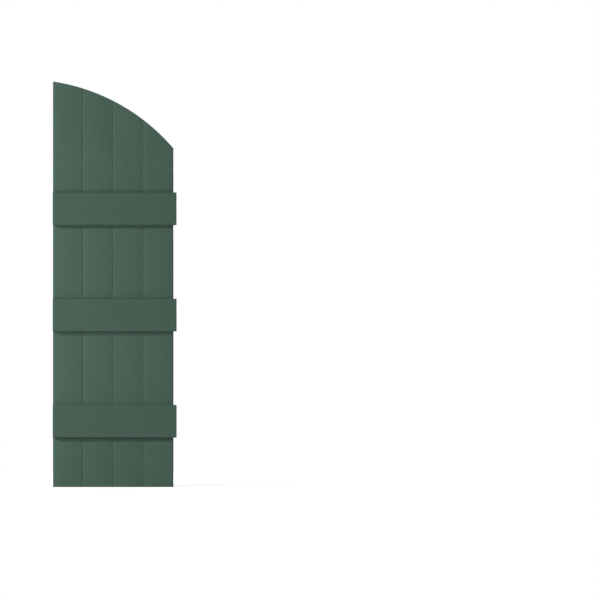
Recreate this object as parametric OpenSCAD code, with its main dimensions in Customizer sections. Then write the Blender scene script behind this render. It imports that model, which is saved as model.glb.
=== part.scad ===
// Board and batten shutter with an arched top.
// Four tongued and grooved boards stand side by side, and three battens cross them in front.
// Screws driven from the back, through the boards, hold the battens.
// +Z is up, the front faces -Y, and the backs of the boards lie on the plane y = 0.
// +X runs from the straight outer edge to the inner edge, where the battens overhang.
// x = 0 is half way across the overall width, and z = 0 is the foot.

/* [Boards] */
// Width that one board covers, from joint to joint
board_w = 86.6; // [70:0.1:120]
// Thickness of a board at the crest of its face
board_t = 12.7; // [12:0.1:20]
// Fall of the crowned face from its crest to the edges of the board
crown_drop = 1.2; // [0.5:0.1:2.5]
// Width of the flat land along the crest, where the battens bear
crown_land = 6; // [4:1:30]
// Width of the bevel on each board at a joint
joint_bevel_w = 3; // [1:0.1:5]
// Depth of the bevel on each board at a joint
joint_bevel_d = 0.5; // [0.4:0.1:2]
// Width of the bevel along the outer and the inner edge of the shutter
edge_bevel_w = 2.4; // [1:0.1:6]
// Depth of the bevel along the outer and the inner edge of the shutter
edge_bevel_d = 2; // [0.8:0.1:4]

/* [Tongue and groove] */
// Thickness of the tongue
tongue_t = 3.5; // [3:0.1:4]
// Length of the tongue
tongue_l = 6; // [4:0.5:9]
// Distance from the back of a board to its tongue
tongue_back = 2.8; // [2:0.1:3.2]
// Clearance on each face of the tongue in its groove
tongue_gap = 0.15; // [0.1:0.05:0.4]
// Room between the tip of the tongue and the bottom of its groove
groove_spare = 0.8; // [0.3:0.1:1.5]
// Gap between the shoulders of two neighbouring boards
joint_gap = 0.2; // [0.1:0.05:0.8]

/* [Arch] */
// Height of the outer edge, from the foot to the arch
outer_h = 1165; // [1000:1:1300]
// Height of the inner edge, from the foot to the arch
inner_h = 973; // [880:1:1000]
// Radius of the arch
arch_r = 564; // [450:1:1100]

/* [Battens] */
// Height of a batten's face
batten_h = 94; // [75:1:140]
// Thickness of a batten
batten_t = 12.7; // [11:0.1:25]
// Chamfer round the front of a batten
batten_chamfer = 1.5; // [0.5:0.1:6]
// Length of a batten that stands past the inner edge of the boards
batten_overhang = 9.4; // [4:0.1:25]
// Height of the middle of the bottom batten above the foot
batten_first = 189; // [80:1:230]
// Spacing of the battens, middle to middle
batten_pitch = 305; // [160:1:330]

/* [Screws] */
// Diameter of the shank
screw_d = 4; // [3:0.1:5]
// Diameter of the countersunk head
head_d = 8; // [7:0.1:9]
// Length of the point
point_l = 3; // [2:0.1:5]
// Depth that the screw reaches into the batten
screw_bite = 7.5; // [6:0.1:9]
// Depth of the head below the backs of the boards
head_sink = 0.3; // [0.2:0.05:1]
// Length of each slot of the cross recess
recess_l = 4.6; // [3:0.1:5.5]
// Width of each slot of the cross recess
recess_w = 1.1; // [0.8:0.1:1.5]
// Depth of the cross recess
recess_d = 1.3; // [0.8:0.1:1.6]
// Distance between the two screws of a board, measured across the board
screw_span = 44; // [30:1:56]
// Distance between the two screws of a board, measured up the batten
screw_rise = 44; // [20:1:60]
// Clearance round the head and the shank in a board
hole_gap = 0.2; // [0.1:0.05:0.5]
// Clearance round the thread in a batten
thread_gap = 0.05; // [0.02:0.01:0.15]
// Room between the point of a screw and the bottom of its hole
pilot_spare = 0.5; // [0.2:0.1:1]

/* [Hidden] */
board_count = 4;
batten_count = 3;
overcut = 1;
fine_fn = 720;
screw_fn = 48;

// boards across the width
boards_mid = -batten_overhang / 2;
board_half = (board_w - joint_gap) / 2;
edge_half = board_count * board_w / 2 - joint_gap / 2;
function board_x(i) = boards_mid + (i - (board_count - 1) / 2) * board_w;

// crowned face: an arc from each end of its flat land to the edges of the board
crown_depth = (pow(board_half, 2) - pow(crown_land / 2, 2) + pow(crown_drop, 2)) / (2 * crown_drop);
crown_r = sqrt(pow(crown_depth, 2) + pow(crown_land / 2, 2));
function crown_fall(x) = crown_depth - sqrt(pow(crown_r, 2) - pow(x, 2));

// a bevel on the edge at +X: its foot on the edge, and where its plane would leave the blank's flat front
function bevel_points(w, d) =
    let (start_x = board_half - w, fall = crown_fall(start_x))
    [[board_half, fall + d - board_t], [start_x - fall * w / d, -board_t]];
joint_bevel = bevel_points(joint_bevel_w, joint_bevel_d);
edge_bevel = bevel_points(edge_bevel_w, edge_bevel_d);

// tongue on the edge at -X, and the groove on the edge at +X that takes the next board's tongue
tongue_front = tongue_back + tongue_t;
tongue_points = [
    [-board_half, -tongue_front],
    [-board_half - tongue_l, -tongue_front],
    [-board_half - tongue_l, -tongue_back],
    [-board_half, -tongue_back]
];
groove_d = tongue_l - joint_gap + groove_spare;
groove_points = [
    [board_half, -(tongue_back - tongue_gap)],
    [board_half - groove_d, -(tongue_back - tongue_gap)],
    [board_half - groove_d, -(tongue_front + tongue_gap)],
    [board_half, -(tongue_front + tongue_gap)]
];

// arch: a circle through the tops of the outer and the inner edge
chord = [2 * edge_half, inner_h - outer_h];
chord_mid = [boards_mid, (inner_h + outer_h) / 2];
chord_dir = chord / norm(chord);
arch_depth = sqrt(pow(arch_r, 2) - pow(norm(chord) / 2, 2));
arch_mid = chord_mid + arch_depth * [chord_dir[1], -chord_dir[0]];
blank_h = arch_mid[1] + arch_r;

// battens up the height
batten_l = 2 * edge_half + batten_overhang;
function batten_z(j) = batten_first + j * batten_pitch;

// screws, measured from the back of the boards
shank_r = screw_d / 2;
head_r = head_d / 2;
head_h = head_r - shank_r;
screw_end = board_t + screw_bite;
function screw_spots(i, j) = [
    for (side = [-1, 1])
        [board_x(i) + side * screw_span / 2, 0, batten_z(j) - side * screw_rise / 2]
];

board_green = [0.286, 0.373, 0.333];
batten_green = [0.300, 0.390, 0.345];
zinc = [0.72, 0.72, 0.70];

// outline of a board seen from its end, with its back along y = 0
module board_section(tongued, grooved) {
    right = grooved ? joint_bevel : edge_bevel;
    left = tongued ? joint_bevel : edge_bevel;
    intersection() {
        polygon(concat(
            [[-board_half, 0], [board_half, 0]],
            grooved ? groove_points : [],
            right,
            [[-left[1][0], left[1][1]], [-left[0][0], left[0][1]]],
            tongued ? tongue_points : []
        ));
        translate([0, crown_depth - board_t])
            circle(r = crown_r, $fn = fine_fn);
    }
}

// everything above the arch, a little wider and deeper than the boards
module arch_waste() {
    waste_w = batten_l + 2 * overcut;
    waste_low = inner_h - overcut;
    difference() {
        translate([-waste_w / 2, -board_t - overcut, waste_low])
            cube([waste_w, board_t + 2 * overcut, blank_h - waste_low + overcut]);
        translate([arch_mid[0], 2 * overcut, arch_mid[1]])
            rotate([90, 0, 0])
                cylinder(r = arch_r, h = board_t + 4 * overcut, $fn = fine_fn);
    }
}

// puts a screw or its hole at each spot, with its axis running from the back to the front
module at_spots(spots) {
    for (spot = spots)
        translate(spot)
            rotate([90, 0, 0])
                children();
}

module board_hole() {
    rotate_extrude($fn = screw_fn)
        polygon([
            [0, -overcut],
            [head_r + hole_gap, -overcut],
            [head_r + hole_gap, head_sink],
            [shank_r + hole_gap, head_sink + head_h],
            [shank_r + hole_gap, board_t + overcut],
            [0, board_t + overcut]
        ]);
}

module batten_hole() {
    grip_r = shank_r + thread_gap;
    hole_end = screw_end + pilot_spare;
    rotate_extrude($fn = screw_fn)
        polygon([
            [0, board_t - overcut],
            [grip_r, board_t - overcut],
            [grip_r, hole_end - point_l],
            [0, hole_end]
        ]);
}

module screw() {
    difference() {
        rotate_extrude($fn = screw_fn)
            polygon([
                [0, head_sink],
                [head_r, head_sink],
                [shank_r, head_sink + head_h],
                [shank_r, screw_end - point_l],
                [0, screw_end]
            ]);
        for (turn = [0, 90])
            rotate([0, 0, turn])
                translate([-recess_l / 2, -recess_w / 2, head_sink - overcut])
                    cube([recess_l, recess_w, recess_d + overcut]);
    }
}

// outline of a batten along one direction, with both front corners chamfered
module chamfered_outline(length) {
    half = length / 2;
    polygon([
        [-half, 0],
        [half, 0],
        [half, -(batten_t - batten_chamfer)],
        [half - batten_chamfer, -batten_t],
        [-(half - batten_chamfer), -batten_t],
        [-half, -(batten_t - batten_chamfer)]
    ]);
}

module board(i) {
    color(board_green)
        difference() {
            translate([board_x(i), 0, 0])
                linear_extrude(height = blank_h)
                    board_section(i > 0, i < board_count - 1);
            arch_waste();
            for (j = [0:batten_count - 1])
                at_spots(screw_spots(i, j))
                    board_hole();
        }
}

module batten(j) {
    color(batten_green)
        difference() {
            translate([0, -board_t, batten_z(j)])
                intersection() {
                    linear_extrude(height = batten_h, center = true)
                        chamfered_outline(batten_l);
                    rotate([0, 90, 0])
                        linear_extrude(height = batten_l, center = true)
                            chamfered_outline(batten_h);
                }
            for (i = [0:board_count - 1])
                at_spots(screw_spots(i, j))
                    batten_hole();
        }
}

module batten_screws(j) {
    color(zinc)
        for (i = [0:board_count - 1])
            at_spots(screw_spots(i, j))
                screw();
}

board(0);  // outer_board
board(1);  // outer_middle_board
board(2);  // inner_middle_board
board(3);  // inner_board
batten(0);  // bottom_batten
batten(1);  // middle_batten
batten(2);  // top_batten
batten_screws(0);  // bottom_batten_screws
batten_screws(1);  // middle_batten_screws
batten_screws(2);  // top_batten_screws
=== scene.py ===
import math

import bmesh
import bpy
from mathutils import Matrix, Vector


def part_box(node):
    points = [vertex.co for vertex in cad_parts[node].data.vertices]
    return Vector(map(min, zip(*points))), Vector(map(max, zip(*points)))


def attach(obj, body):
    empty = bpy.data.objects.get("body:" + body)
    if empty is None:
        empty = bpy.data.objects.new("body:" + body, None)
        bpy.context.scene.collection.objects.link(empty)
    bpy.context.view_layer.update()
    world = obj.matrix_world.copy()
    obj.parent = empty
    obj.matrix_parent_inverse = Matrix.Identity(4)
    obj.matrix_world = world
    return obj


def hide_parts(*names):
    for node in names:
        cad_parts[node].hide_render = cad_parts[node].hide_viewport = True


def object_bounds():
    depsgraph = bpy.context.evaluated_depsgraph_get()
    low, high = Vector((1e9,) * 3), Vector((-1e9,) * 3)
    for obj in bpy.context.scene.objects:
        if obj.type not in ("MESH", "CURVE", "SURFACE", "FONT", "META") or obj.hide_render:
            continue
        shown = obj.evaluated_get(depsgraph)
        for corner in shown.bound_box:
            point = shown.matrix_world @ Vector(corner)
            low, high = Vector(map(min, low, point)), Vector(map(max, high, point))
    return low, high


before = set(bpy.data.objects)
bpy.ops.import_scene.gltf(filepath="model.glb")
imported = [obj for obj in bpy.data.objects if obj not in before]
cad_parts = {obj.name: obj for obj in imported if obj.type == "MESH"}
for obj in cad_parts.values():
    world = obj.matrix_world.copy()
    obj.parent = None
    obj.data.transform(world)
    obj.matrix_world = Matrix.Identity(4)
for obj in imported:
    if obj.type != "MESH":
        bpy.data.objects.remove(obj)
cadLow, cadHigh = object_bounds()  # the CAD box, before anything is dressed
boards = ["outer_board", "outer_middle_board", "inner_middle_board", "inner_board"]
battens = ["bottom_batten", "middle_batten", "top_batten"]
print("frame loaded:", ", ".join(sorted(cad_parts)))


# a socket of a shader tree, so that maths on it is written as plain Python
class Shade:
    def __init__(self, tree, socket=None):
        self.tree = tree
        self.socket = socket

    def node(self, kind, settings=None, sockets=None, output=0):
        made = self.tree.nodes.new(kind)
        for name, value in (settings or {}).items():
            setattr(made, name, value)
        for name, value in (sockets or {}).items():
            if isinstance(value, Shade):
                self.tree.links.new(value.socket, made.inputs[name])
            else:
                made.inputs[name].default_value = value
        return Shade(self.tree, made.outputs[output] if made.outputs else None)

    def maths(self, operation, first, second):
        return self.node("ShaderNodeMath", {"operation": operation}, {0: first, 1: second})

    def __add__(self, other):
        return self.maths("ADD", self, other)

    def __radd__(self, other):
        return self.maths("ADD", other, self)

    def __sub__(self, other):
        return self.maths("SUBTRACT", self, other)

    def __rsub__(self, other):
        return self.maths("SUBTRACT", other, self)

    def __mul__(self, other):
        return self.maths("MULTIPLY", self, other)

    def __rmul__(self, other):
        return self.maths("MULTIPLY", other, self)


def mixColours(shade, factor, first, second):
    # sockets 6 and 7 and output 2 are the ones for colours
    return shade.node("ShaderNodeMix", {"data_type": "RGBA"}, {0: factor, 6: first, 7: second}, 2)


def mixShaders(shade, factor, first, second):
    return shade.node("ShaderNodeMixShader", None, {0: factor, 1: first, 2: second})


def stretchCoords(shade, stretch, shift):
    place = shade.node("ShaderNodeTexCoord", output="Object")
    scaled = shade.node("ShaderNodeVectorMath", {"operation": "MULTIPLY"}, {0: place, 1: stretch})
    return shade.node("ShaderNodeVectorMath", {"operation": "ADD"}, {0: scaled, 1: shift})


noiseMiddle = 0.5  # the noise runs about this value


def noiseOf(shade, coords, scale, rough=0.5, detail=3.0):
    return shade.node("ShaderNodeTexNoise", None,
                      {"Vector": coords, "Scale": scale, "Detail": detail, "Roughness": rough}, "Fac")


def newMaterial(name):
    made = bpy.data.materials.new(name)
    made.use_nodes = True
    made.node_tree.nodes.clear()
    return made, Shade(made.node_tree)


def closeMaterial(shade, shader):
    shade.node("ShaderNodeOutputMaterial", None, {"Surface": shader})


# satin green of the boards and battens
greenFinish = {
    "deep": (0.0470, 0.0925, 0.0685),
    "pale": (0.0610, 0.1135, 0.0855),
    "wornAndHighlit": (0.088, 0.140, 0.112),  # paler along the edges: partly wear where handling thins the colour, partly a painted highlight on the edges
    "battenTone": 0.93,     # the battens are a little darker than the boards
    "shift": (1.7, 2.3, 0.9),  # so that no two pieces have the same pattern
    "patchScale": 14.0,     # soft patches a few centimetres across
    "patchStretch": (1.0, 1.0, 0.5),
    "streakScale": 420.0,   # broad streaks, about two millimetres apart
    "streakRough": 0.6,
    "grainScale": 1300.0,   # fine brush lines, less than a millimetre apart
    "grainRough": 0.55,
    "along": 0.03,          # the smaller, the longer the streaks and lines run along a piece
    "boardAxis": 2,         # they run up the boards
    "battenAxis": 0,        # and across on the battens
    "patchShare": 0.45,     # shares of the colour change, with the rest left to the brush lines
    "streakShare": 0.25,
    "roughMean": 0.50,
    "roughSpread": 0.24,
    "specular": 0.25,
    "streakDepth": 0.00012,  # metres
    "grainDepth": 0.00009,
    "relief": 0.6,          # strength of the bump
    "edgeReach": 0.0014,    # how far from an edge the paler colour of wear and painted highlight reaches
    "edgeSamples": 4,
    "edgeStart": 0.995,     # an edge turns the normal: the paler edge of wear and painted highlight starts at this cosine
    "edgeFull": 0.93,       # and is full at this one
    "edgeWearAndHighlight": 0.9,         # how much of the paler edge colour, part wear and part painted highlight, then shows in the palest patches
}


def greenMaterial(name, number, grainAxis, tone=1.0):
    made, shade = newMaterial(name)
    finish = greenFinish

    def toned(colour):
        return tuple(level * tone for level in colour) + (1.0,)

    shift = tuple(number * step for step in finish["shift"])
    stretch = [1.0, 1.0, 1.0]
    stretch[grainAxis] = finish["along"]
    drawn = stretchCoords(shade, stretch, shift)
    patches = noiseOf(shade, stretchCoords(shade, finish["patchStretch"], shift), finish["patchScale"])
    streaks = noiseOf(shade, drawn, finish["streakScale"], finish["streakRough"])
    grain = noiseOf(shade, drawn, finish["grainScale"], finish["grainRough"])
    grainShare = 1 - finish["patchShare"] - finish["streakShare"]
    blend = patches * finish["patchShare"] + streaks * finish["streakShare"] + grain * grainShare
    colour = mixColours(shade, blend, toned(finish["deep"]), toned(finish["pale"]))

    # paler edges all round: worn paint together with a painted highlight along every edge
    rounded = shade.node("ShaderNodeBevel", {"samples": finish["edgeSamples"]},
                         {"Radius": finish["edgeReach"]})
    normal = shade.node("ShaderNodeNewGeometry", output="Normal")
    turned = shade.node("ShaderNodeVectorMath", {"operation": "DOT_PRODUCT"},
                        {0: rounded, 1: normal}, "Value")
    edges = shade.node("ShaderNodeMapRange", None,
                       {"Value": turned, "From Min": finish["edgeStart"], "From Max": finish["edgeFull"],
                        "To Max": finish["edgeWearAndHighlight"]})
    colour = mixColours(shade, edges * patches, colour, toned(finish["wornAndHighlit"]))

    rough = (grain - noiseMiddle) * finish["roughSpread"] + finish["roughMean"]
    height = streaks * finish["streakDepth"] + grain * finish["grainDepth"]
    relief = shade.node("ShaderNodeBump", None,
                        {"Strength": finish["relief"], "Distance": 1.0, "Height": height})
    shader = shade.node("ShaderNodeBsdfPrincipled", None,
                        {"Base Color": colour, "Roughness": rough, "Normal": relief,
                         "Specular IOR Level": finish["specular"]})
    closeMaterial(shade, shader)
    return made


# zinc plated screws
zincFinish = {
    "bright": (0.50, 0.50, 0.49, 1.0),
    "dull": (0.30, 0.30, 0.29, 1.0),
    "spotScale": 900.0,
    "roughLow": 0.38,
    "roughSpread": 0.2,
}


def zincMaterial():
    made, shade = newMaterial("zincScrew")
    place = shade.node("ShaderNodeTexCoord", output="Object")
    bloom = noiseOf(shade, place, zincFinish["spotScale"])
    colour = mixColours(shade, bloom, zincFinish["dull"], zincFinish["bright"])
    rough = bloom * zincFinish["roughSpread"] + zincFinish["roughLow"]
    shader = shade.node("ShaderNodeBsdfPrincipled", None,
                        {"Base Color": colour, "Metallic": 1.0, "Roughness": rough})
    closeMaterial(shade, shader)
    return made


# boards and battens: each is copied, its outer edges are eased and a board's crown is cut finer
easing = {
    "radius": 0.0004,       # of the eased edges
    "segments": 3,
    "profile": 0.5,         # round
    "sharpest": 20.0,       # degrees; flatter edges stay as they are and are shaded smooth
    "screwClear": 0.006,    # edges this near to a screw's middle line are left sharp
    "screwApart": 0.01,     # corners closer than this belong to one screw
    "weld": 1e-6,           # corners closer than this are one
    "flat": 0.002,          # radians; facets that differ by less are one face
    "sliver": 2e-5,         # edges and faces narrower than this are closed up
}
crown = {
    "drop": 0.0012,         # from the crest of a board to its edges
    "land": 0.006,          # flat strip along the crest
    "bevel": 0.003,         # bevelled strip along each edge, left as it is
    "step": 0.003,          # between the cuts that follow the crown
    "reach": 0.00025,       # a corner this near to the crown is set on it
    "facing": 0.97,         # how squarely a face looks to the front if it is to be cut
}
plainLow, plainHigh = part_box(boards[0])  # no tongue on this one, so its box is as wide as its face
crest = plainLow.y
crownHalf = (plainHigh.x - plainLow.x) / 2
crownDepth = (crownHalf ** 2 - (crown["land"] / 2) ** 2 + crown["drop"] ** 2) / (2 * crown["drop"])
crownRadius = math.hypot(crownDepth, crown["land"] / 2)


def findScrews():
    groups = []  # the corners of each screw, seen from the front
    for nodeName in battens:
        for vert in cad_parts[nodeName + "_screws"].data.vertices:
            spot = (vert.co.x, vert.co.z)
            near = [group for group in groups if math.dist(spot, group[0]) < easing["screwApart"]]
            if near:
                near[0].append(spot)
            else:
                groups.append([spot])
    return [[(min(places) + max(places)) / 2 for places in zip(*group)] for group in groups]


def easeEdges(work, spots):
    def clear(vert):
        return all(math.dist((vert.co.x, vert.co.z), spot) > easing["screwClear"] for spot in spots)

    sharpest = math.radians(easing["sharpest"])
    outer = [edge for edge in work.edges
             if edge.calc_face_angle(0.0) > sharpest and all(clear(vert) for vert in edge.verts)]
    bmesh.ops.bevel(work, geom=outer, offset=easing["radius"], offset_type="OFFSET", affect="EDGES",
                    segments=easing["segments"], profile=easing["profile"], clamp_overlap=False)


def crownFace(across):
    if abs(across) <= crown["land"] / 2:
        return crest
    return crest + crownDepth - math.sqrt(crownRadius ** 2 - across ** 2)


def followCrown(work, middle):
    steps = int(crownHalf / crown["step"])
    for number in range(-steps, steps + 1):
        front = [face for face in work.faces if face.normal.y < -crown["facing"]]
        geometry = set(front)
        for face in front:
            geometry.update(face.verts)
            geometry.update(face.edges)
        bmesh.ops.bisect_plane(work, geom=list(geometry), dist=easing["sliver"],
                               plane_co=(middle + number * crown["step"], 0, 0), plane_no=(1, 0, 0))
    for vert in work.verts:
        across = vert.co.x - middle
        onCrown = abs(across) < crownHalf - crown["bevel"]
        if onCrown and abs(vert.co.y - crownFace(across)) < crown["reach"]:
            vert.co.y = crownFace(across)


def closeSlivers(work):
    bmesh.ops.dissolve_degenerate(work, dist=easing["sliver"], edges=work.edges)
    bmesh.ops.triangulate(work, faces=work.faces)
    bmesh.ops.dissolve_degenerate(work, dist=easing["sliver"], edges=work.edges)


def softCopy(nodeName, material, spots, middle=None):
    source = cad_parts[nodeName].data
    mesh = bpy.data.meshes.new(nodeName + "_soft")
    mesh.from_pydata([v.co for v in source.vertices], [], [p.vertices[:] for p in source.polygons])
    work = bmesh.new()
    work.from_mesh(mesh)
    bmesh.ops.remove_doubles(work, verts=work.verts, dist=easing["weld"])
    bmesh.ops.dissolve_limit(work, angle_limit=easing["flat"], verts=work.verts, edges=work.edges)
    easeEdges(work, spots)
    if middle is not None:
        followCrown(work, middle)
    closeSlivers(work)
    work.to_mesh(mesh)
    work.free()
    mesh.shade_smooth()
    mesh.set_sharp_from_angle(angle=math.radians(easing["sharpest"]))
    mesh.materials.append(material)
    piece = bpy.data.objects.new(nodeName + "_soft", mesh)
    bpy.context.scene.collection.objects.link(piece)
    flat = piece.modifiers.new("flatFaces", "WEIGHTED_NORMAL")  # flat faces stay flat beside eased edges
    flat.keep_sharp = True
    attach(piece, "root")
    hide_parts(nodeName)


screwPlaces = findScrews()
for number, nodeName in enumerate(boards):
    paint = greenMaterial("green_" + nodeName, number, greenFinish["boardAxis"])
    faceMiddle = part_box(nodeName)[1].x - crownHalf  # a tongue is on the other side
    softCopy(nodeName, paint, screwPlaces, faceMiddle)
for number, nodeName in enumerate(battens, len(boards)):
    paint = greenMaterial("green_" + nodeName, number, greenFinish["battenAxis"], greenFinish["battenTone"])
    softCopy(nodeName, paint, screwPlaces)
zinc = zincMaterial()
for nodeName in battens:
    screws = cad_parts[nodeName + "_screws"]
    screws.data.materials.clear()
    screws.data.materials.append(zinc)
print("boards and battens eased,", len(screwPlaces), "screws dressed")

# camera: the photograph is taken flat on, and its scale comes from the width over the battens
view = {
    "imageSide": 600,        # pixels
    "outerEdgePx": 52.85,    # outer edge of the boards in the photograph
    "battenEndPx": 176.65,   # inner ends of the battens
    "footPx": 487.0,         # foot of the boards
    "distance": 14.0,        # metres from the faces of the boards
    "sensor": 36.0,          # millimetres
}
metresPerPx = (cadHigh.x - cadLow.x) / (view["battenEndPx"] - view["outerEdgePx"])
middlePx = view["imageSide"] / 2
camera = bpy.data.objects.new("camera", bpy.data.cameras.new("camera"))
bpy.context.scene.collection.objects.link(camera)
camera.location = (
    cadLow.x + (middlePx - view["outerEdgePx"]) * metresPerPx,
    crest - view["distance"],
    cadLow.z + (view["footPx"] - middlePx) * metresPerPx,
)
camera.rotation_euler = (math.pi / 2, 0.0, 0.0)  # level, looking along +Y
camera.data.sensor_width = view["sensor"]
camera.data.lens = view["sensor"] * view["distance"] / (view["imageSide"] * metresPerPx)
bpy.context.scene.camera = camera
print("camera set, lens", round(camera.data.lens, 1))

# lights and floor
studio = {
    "keyPlace": (-5.4, -3.2, 3.4), "keySize": (0.7, 0.7), "keyWatts": 398.0,
    "sidePlace": (-1.2, -1.2, 0.5), "sideSize": (0.4, 0.8), "sideWatts": 10.8,
    "backPlace": (1.5, 3.0, 1.6), "backSize": (2.0, 2.0), "backWatts": 110.0,
    "aim": (0.0, 0.0, 0.5),
    "ambient": 0.12,
    "floorSide": 120.0,
    "floorDrop": 0.0005,    # between the foot and the floor
    "floorColour": (0.7, 0.7, 0.7, 1.0),
    "floorLift": 0.6,       # added to what the camera sees of the floor
    "floorNear": 0.5,       # the floor's own shade shows within this distance
    "floorFar": 1.6,        # and beyond this one it is plain white
}
plainWhite = (1.0, 1.0, 1.0, 1.0)


def addLight(name, place, size, watts):
    lamp = bpy.data.lights.new(name, "AREA")
    lamp.shape = "RECTANGLE"
    lamp.size, lamp.size_y = size
    lamp.energy = watts
    made = bpy.data.objects.new(name, lamp)
    bpy.context.scene.collection.objects.link(made)
    made.location = place
    made.visible_camera = False
    made.rotation_euler = (Vector(studio["aim"]) - Vector(place)).to_track_quat("-Z", "Y").to_euler()


for name in ("key", "side", "back"):
    addLight(name, studio[name + "Place"], studio[name + "Size"], studio[name + "Watts"])

world = bpy.data.worlds.new("studio")
bpy.context.scene.world = world
world.use_nodes = True
world.node_tree.nodes.clear()
sky = Shade(world.node_tree)
seen = sky.node("ShaderNodeLightPath", output="Is Camera Ray")
glossy = sky.node("ShaderNodeLightPath", output="Is Glossy Ray")
through = sky.node("ShaderNodeLightPath", output="Is Transmission Ray")
direct = sky.maths("MINIMUM", seen + glossy + through, 1.0)
soft = sky.node("ShaderNodeBackground", None, {"Color": plainWhite, "Strength": studio["ambient"]})
white = sky.node("ShaderNodeBackground", None, {"Color": plainWhite, "Strength": 1.0})
sky.node("ShaderNodeOutputWorld", None, {"Surface": mixShaders(sky, direct, soft, white)})

half = studio["floorSide"] / 2
corners = [(-half, -half, 0), (half, -half, 0), (half, half, 0), (-half, half, 0)]
floorMesh = bpy.data.meshes.new("floor")
floorMesh.from_pydata(corners, [], [(0, 1, 2, 3)])
floor = bpy.data.objects.new("floor", floorMesh)
floor.location.z = cadLow.z - studio["floorDrop"]
bpy.context.scene.collection.objects.link(floor)
floorMaterial, paper = newMaterial("paleFloor")
place = paper.node("ShaderNodeTexCoord", output="Object")
away = paper.node("ShaderNodeVectorMath", {"operation": "LENGTH"}, {0: place}, "Value")
far = paper.node("ShaderNodeMapRange", {"interpolation_type": "SMOOTHSTEP"},
                 {"Value": away, "From Min": studio["floorNear"], "From Max": studio["floorFar"]})
camRay = paper.node("ShaderNodeLightPath", output="Is Camera Ray")
under = paper.node("ShaderNodeNewGeometry", output="Backfacing")
lit = paper.node("ShaderNodeBsdfDiffuse", None, {"Color": studio["floorColour"]})
dark = paper.node("ShaderNodeEmission", None, {"Strength": 0.0})
glow = paper.node("ShaderNodeEmission", None, {"Strength": studio["floorLift"]})
plain = paper.node("ShaderNodeEmission", None, {"Strength": 1.0})
clear = paper.node("ShaderNodeBsdfTransparent")
lifted = paper.node("ShaderNodeAddShader", None, {0: lit, 1: mixShaders(paper, camRay, dark, glow)})
upper = mixShaders(paper, camRay * far, lifted, plain)
closeMaterial(paper, mixShaders(paper, under, upper, clear))  # from below the floor is clear
floorMesh.materials.append(floorMaterial)
bpy.context.scene.view_settings.view_transform = "Standard"
print("studio set")
